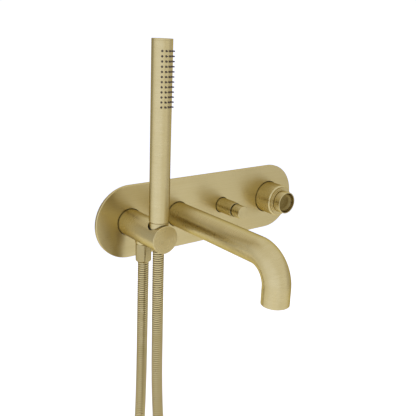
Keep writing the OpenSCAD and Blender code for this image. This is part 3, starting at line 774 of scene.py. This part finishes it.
def make_spout(material):
    start = out_span("spout_tube")[0]
    end_z = z_span("spout_tube")[0]
    at, straight, arc, total = spout_path(start, end_z)
    bore = spout_r - SPOUT_WALL
    corners = rounded([(bore, 0, 0), (spout_r, 0, 0.2), (spout_r, total, 0.45), (bore, total, 0.4)])
    steps = 30
    stops = [straight + arc * i / steps for i in range(steps + 1)]
    profile = []
    for here, after in zip(corners, corners[1:] + corners[:1]):
        profile.append((here.x, here.y))
        between = [s for s in stops if min(here.y, after.y) < s < max(here.y, after.y)]
        profile += [(here.x, s) for s in sorted(between, reverse=here.y > after.y)]
    rings = []
    for radius, s in profile:
        middle, direction = at(s)
        side = Vector((1, 0, 0))
        up = direction.cross(side)
        rings.append([(middle + (side * math.cos(a) + up * math.sin(a)) * radius) * MM
                      for a in (TAU * i / SPOUT_SIDES for i in range(SPOUT_SIDES))])
    tube = skin("spout", rings, closed=True)
    screw_r, screw_out = SPOUT_SCREW
    under = hanging(centre("spout_tube").x, -screw_out * MM, spout_axis * MM)
    tube = boolean(tube, rod(under, screw_r, bore - 4, spout_r + 1, 48))
    make_object("spout_bent_tube", tube, material, "wall_unit", "brushed_gold", "spout_tube")

    ring_r, (low, high) = half_size("aerator_ring").x, z_span("aerator_ring")
    hole_r, lip_r = AERATOR_BORE
    ring = lathe("aerator", upright(aerator_at.x, aerator_at.y), [
        (hole_r, low, 0.3), (ring_r, low, 0.5), (ring_r, high, 0), (lip_r, high, 0),
        (lip_r, high - AERATOR_LIP, 0), (hole_r, high - AERATOR_LIP, 0),
    ], 96, closed=True)
    make_object("aerator_outer_ring", ring, material, "wall_unit", "brushed_gold", "aerator_ring")


# ---- holder ----

SADDLE_R = 13.7
# radius, and how far out it ends
NIPPLE_BORE = (9.1, 25.0)
WATER_BORE = (5.0, 43.0)
# radius, and how far below the holder's axis the bore starts and the boss ends
OUTLET_BORE = (8.25, 7.0)
OUTLET_BOSS = (10.6, 18.1)
# radius of the screw's hole, and how far out it is
HOLDER_SCREW = (2.1, 10.0)
HOLDER_SOFT = 0.35


def make_holder(material):
    place = out_from(holder_at.x, holder_at.z)
    radius, (back, front) = half_size("holder_body").x, out_span("holder_body")
    body = lathe("holder", place, [(0, back, 0), (radius, back, 0.3), (radius, front, 0.6),
                                   (0, front, 0)], 160)
    outlet = hanging(outlet_at.x, outlet_at.y, 0)
    body = boolean(body, rod(outlet, OUTLET_BOSS[0], 0, OUTLET_BOSS[1]), "UNION")
    body = boolean(body, rod(upright(handset_at.x, handset_at.y), SADDLE_R, -radius - 2, radius + 2, 128))
    body = soften(body, HOLDER_SOFT)
    body = boolean(body, rod(place, NIPPLE_BORE[0], 0, NIPPLE_BORE[1]))
    body = boolean(body, rod(place, WATER_BORE[0], NIPPLE_BORE[1] - 1, WATER_BORE[1]))
    body = boolean(body, rod(outlet, OUTLET_BORE[0], OUTLET_BORE[1], radius + 2))
    body = boolean(body, rod(outlet, WATER_BORE[0], 0, OUTLET_BORE[1] + 1))
    screw_r, screw_out = HOLDER_SCREW
    under = hanging(holder_at.x, -screw_out * MM, 0)
    body = boolean(body, rod(under, screw_r, NIPPLE_BORE[0] - 4, radius + 1, 48))
    make_object("holder_turned_body", body, material, "wall_unit", "brushed_gold", "holder_body")


# ---- hose nuts ----

# bores are (radius at the foot, radius above the shoulder), and chamfers are (depth, height)
NUT_BORE = (7.65, 8.25)
NUT_SHOULDER = 5.5
NUT_CHAMFER = (1.5, 1.8)
NUT_TOP_CHAMFER = (0.7, 0.8)
NUT_SOFT = 0.18
CONE_BORE = (7.7, 10.45)
CONE_SHOULDER = 2.0
CONE_LOW_R = 8.6
# depth and height of the relief under the hand shower's tube
CONE_RELIEF = (0.8, 1.2)


def make_outlet_nut(material):
    """The hexagonal nut that holds the hose under the holder."""
    half, (low, top) = half_size("outlet_hose_nut"), z_span("outlet_hose_nut")
    place = upright(outlet_at.x, outlet_at.y)
    foot_bore, bore = NUT_BORE
    shoulder = low + NUT_SHOULDER
    blank = lathe("blank", place, [
        (foot_bore, low, 0), (half.x - NUT_CHAMFER[0], low, 0.2), (half.x, low + NUT_CHAMFER[1], 0.6),
        (half.x, top - NUT_TOP_CHAMFER[1], 0.3), (half.x - NUT_TOP_CHAMFER[0], top, 0.3),
        (bore, top, 0.1), (bore, shoulder, 0), (foot_bore, shoulder, 0),
    ], closed=True)
    corner = half.y * 2 / math.sqrt(3) * MM
    hexagon = [[place @ Vector((corner * math.cos(TAU * i / 6), corner * math.sin(TAU * i / 6), z * MM))
                for i in range(6)] for z in (low - 2, top + 2)]
    prism = skin("prism", hexagon)
    fill_ends(prism)
    nut = soften(boolean(blank, prism, "INTERSECT"), NUT_SOFT)
    return make_object("hose_nut_hex", nut, material, "wall_unit", "brushed_gold", "outlet_hose_nut")


def make_cone_nut(material):
    """The long cone that drops into the holder and carries the hand shower."""
    top_r, (low, top) = half_size("cone_nut").x, z_span("cone_nut")
    foot_bore, bore = CONE_BORE
    relief_r, relief_low = top_r - CONE_RELIEF[0], top - CONE_RELIEF[1]
    nut = lathe("cone", upright(handset_at.x, handset_at.y), [
        (foot_bore, low, 0.1), (CONE_LOW_R, low, 0.5), (top_r, CONE_SHOULDER, 0.5),
        (top_r, relief_low, 0.25), (relief_r, relief_low, 0), (relief_r, top, 0), (bore, top, 0),
        (bore, CONE_SHOULDER, 0), (foot_bore, CONE_SHOULDER, 0),
    ], closed=True)
    make_object("cone_hose_nut", nut, material, "handset", "brushed_gold", "cone_nut")


# ---- hand shower ----

TUBE_WALL = 1.0
NOZZLE_ROWS = 12
NOZZLE_PITCH = 5.7
NOZZLE_MARGIN = 4.0
NOZZLE_TURNS = (-33, -11, 11, 33)
NOZZLE_HOLE = 1.3
NOZZLE_REACH = 3.1
# radii inside and outside
STRIP_R = (10.5, 11.4)
STRIP_HALF_TURN = 52
STRIP_STEPS = 40
# radii outside and inside
CAP_PLUG = (11.4, 8.0)


def nozzle_places():
    """The frames of the nozzles, from the top row down: each one's own z points away from the tube."""
    top = z_span("handset_nozzles")[1] - NOZZLE_MARGIN
    for row in range(NOZZLE_ROWS):
        for turn in NOZZLE_TURNS:
            yield (Matrix.Translation((handset_at.x, handset_at.y, (top - row * NOZZLE_PITCH) * MM))
                   @ Matrix.Rotation(math.radians(turn), 4, "Z")
                   @ Matrix.Rotation(math.radians(90), 4, "X"))


def make_hand_shower(material, silicone):
    radius, (low, high) = half_size("handset_tube").x, z_span("handset_tube")
    place = upright(handset_at.x, handset_at.y)
    bore = radius - TUBE_WALL
    tube = lathe("tube", place, [(bore, low, 0), (radius, low, 0.2), (radius, high, 0.15), (bore, high, 0)],
                 160, closed=True)
    holes = join("holes", [rod(spot, NOZZLE_HOLE, bore - 2, radius + 1, 24) for spot in nozzle_places()])
    tube = boolean(tube, holes)
    make_object("hand_shower_tube", tube, material, "handset", "brushed_gold", "handset_tube")

    cap_low, cap_top = z_span("handset_end_cap")
    plug_r, plug_bore = CAP_PLUG
    cap = lathe("cap", place, [
        (0, high, 0), (plug_bore, high, 0), (plug_bore, cap_low, 0), (plug_r, cap_low, 0.2),
        (plug_r, high, 0), (radius, high, 0.15), (radius, cap_top, 0.5), (0, cap_top, 0),
    ], 160)
    make_object("hand_shower_end", cap, material, "handset", "brushed_gold", "handset_end_cap")

    inner, outer = STRIP_R
    turns = [math.radians(-90 - STRIP_HALF_TURN + 2 * STRIP_HALF_TURN * i / STRIP_STEPS)
             for i in range(STRIP_STEPS + 1)]
    outline = [(outer, a) for a in turns] + [(inner, a) for a in reversed(turns)]
    strip = skin("strip", [[place @ Vector((r * math.cos(a) * MM, r * math.sin(a) * MM, z * MM))
                            for r, a in outline] for z in z_span("handset_nozzles")])
    fill_ends(strip)
    tip = radius + NOZZLE_REACH
    nubs = [lathe("nub", spot, [
        (0, outer - 0.4, 0), (1.1, outer - 0.4, 0), (1.04, radius + 0.3, 0.3), (0.86, radius + 1.2, 0.5),
        (0.75, tip, 0.25), (0.38, tip, 0.1), (0.3, tip - 0.8, 0), (0, tip - 0.9, 0),
    ], 20) for spot in nozzle_places()]
    make_object("soft_nozzles", join("nozzles", [strip, *nubs]), silicone, "handset", "nozzle_silicone",
                "handset_nozzles")


# ---- finishes of the CAD nodes that stay ----


def finish_cad_nodes():
    finishes = {
        "raw_brass": plain("raw_brass", (0.50, 0.33, 0.12), (0.62, 0.45, 0.19), 420.0, 0.36, 1.0, 0.25),
        "black_rubber": plain("black_rubber", (0.012, 0.012, 0.012), (0.03, 0.03, 0.03), 900.0, 0.72),
        "stainless_steel": plain("stainless_steel", (0.5, 0.5, 0.49), (0.62, 0.62, 0.6), 1300.0, 0.3, 1.0),
        "cartridge_plastic": plain("cartridge_plastic", (0.66, 0.68, 0.68), (0.74, 0.75, 0.74), 600.0,
                                   0.38),
        "black_plastic": plain("black_plastic", (0.018, 0.018, 0.02), (0.04, 0.04, 0.042), 800.0, 0.45),
        "ceramic": plain("ceramic", (0.8, 0.77, 0.7), (0.86, 0.84, 0.78), 500.0, 0.16),
    }
    for row in frame["record"]["subparts"]:
        if row["material_slot"] in finishes:
            for slot in frame["nodes"][row["node"]].material_slots:
                slot.material = finishes[row["material_slot"]]


# ---- stage ----

FLOOR_GAP = 0.01
FLOOR_SIZE = 2.4


def make_floor():
    z = cad_lo.z - FLOOR_GAP
    half = FLOOR_SIZE / 2
    mesh = mesh_from("floor", [(-half, -half, z), (half, -half, z), (half, half, z), (-half, half, z)],
                     [(0, 1, 2, 3)])
    shader = Shader("pale_floor")
    grain = shader.noise(shader.place(), 3.0, 2.0)
    shader.set(base_color=shader.blend(grain, (0.86, 0.86, 0.86), (0.88, 0.88, 0.88)), roughness=0.9)
    mesh.materials.append(shader.material)
    floor = bpy.data.objects.new("floor", mesh)
    bpy.context.scene.collection.objects.link(floor)


def sun(name, azimuth, elevation, width, strength):
    """A soft light from far away that isn't mirrored: its direction, width in degrees and strength."""
    data = bpy.data.lights.new(name, "SUN")
    data.energy, data.angle = strength, math.radians(width)
    light = bpy.data.objects.new(name, data)
    light.matrix_world = towards(azimuth, elevation).to_track_quat("Z", "Y").to_matrix().to_4x4()
    light.visible_glossy = False
    bpy.context.scene.collection.objects.link(light)


# the surround's own colour, a little past white and cool
SURROUND = (1.02, 1.05, 1.22)
# tones laid over it: the azimuth and elevation of each middle, the degrees from there within which it is
# full and at which it ends, and the colour that the surround is multiplied by
TONES = [
    ((202, 4), 16, 36, (0.5, 0.49, 0.48)),
    ((205, 42), 12, 38, (0.82, 0.77, 0.68)),
    ((72, -12), 10, 42, (0.7, 0.68, 0.66)),
    ((-62, -8), 20, 62, (1.16, 1.2, 1.35)),
]


def make_world():
    """A bright surround with a few wide soft tones."""
    world = bpy.data.worlds.new("studio")
    bpy.context.scene.world = world
    world.use_nodes = True
    tree = world.node_tree
    place = tree.nodes.new("ShaderNodeTexCoord").outputs["Generated"]
    colour = None
    for (azimuth, elevation), near, far, tint in TONES:
        dot = tree.nodes.new("ShaderNodeVectorMath")
        dot.operation = "DOT_PRODUCT"
        tree.links.new(place, dot.inputs[0])
        dot.inputs[1].default_value = towards(azimuth, elevation)
        fade = tree.nodes.new("ShaderNodeMapRange")
        fade.interpolation_type = "SMOOTHSTEP"
        tree.links.new(dot.outputs["Value"], fade.inputs[0])
        for i, value in enumerate((math.cos(math.radians(far)), math.cos(math.radians(near)), 0.0, 1.0), 1):
            fade.inputs[i].default_value = value
        mix = tree.nodes.new("ShaderNodeMix")
        mix.data_type, mix.blend_type = "RGBA", "MULTIPLY"
        tree.links.new(fade.outputs[0], mix.inputs[0])
        mix.inputs[6].default_value = (*SURROUND, 1)
        if colour:
            tree.links.new(colour, mix.inputs[6])
        mix.inputs[7].default_value = (*tint, 1)
        colour = mix.outputs[2]
    tree.links.new(colour, tree.nodes["Background"].inputs["Color"])


make_camera()
turned = turned_gold("brushed_gold_turned")
# the hex nut's gold carries painted shade all over
make_hose(hose_gold(), make_outlet_nut(turned_gold("brushed_gold_nut_painted_shade", shade=NUT_PAINTED_SHADE)))
make_plate(straight_gold("brushed_gold_plate"))
# the cup and its cap disc carry painted shade inside the cup
make_mixer(turned, turned_gold("brushed_gold_cup_painted_shade", recess=(mixer_at.x, mixer_at.z, *CUP_PAINTED_SHADE)))
make_diverter(turned)
make_spout(turned)
make_holder(turned)
make_cone_nut(turned)
make_hand_shower(turned, plain("nozzle_silicone", (0.05, 0.035, 0.022), (0.085, 0.06, 0.04), 700.0, 0.5))
finish_cad_nodes()
make_floor()
make_world()
sun("top", azimuth=-20, elevation=75, width=60, strength=1.2)
bpy.context.scene.view_settings.view_transform = "Standard"
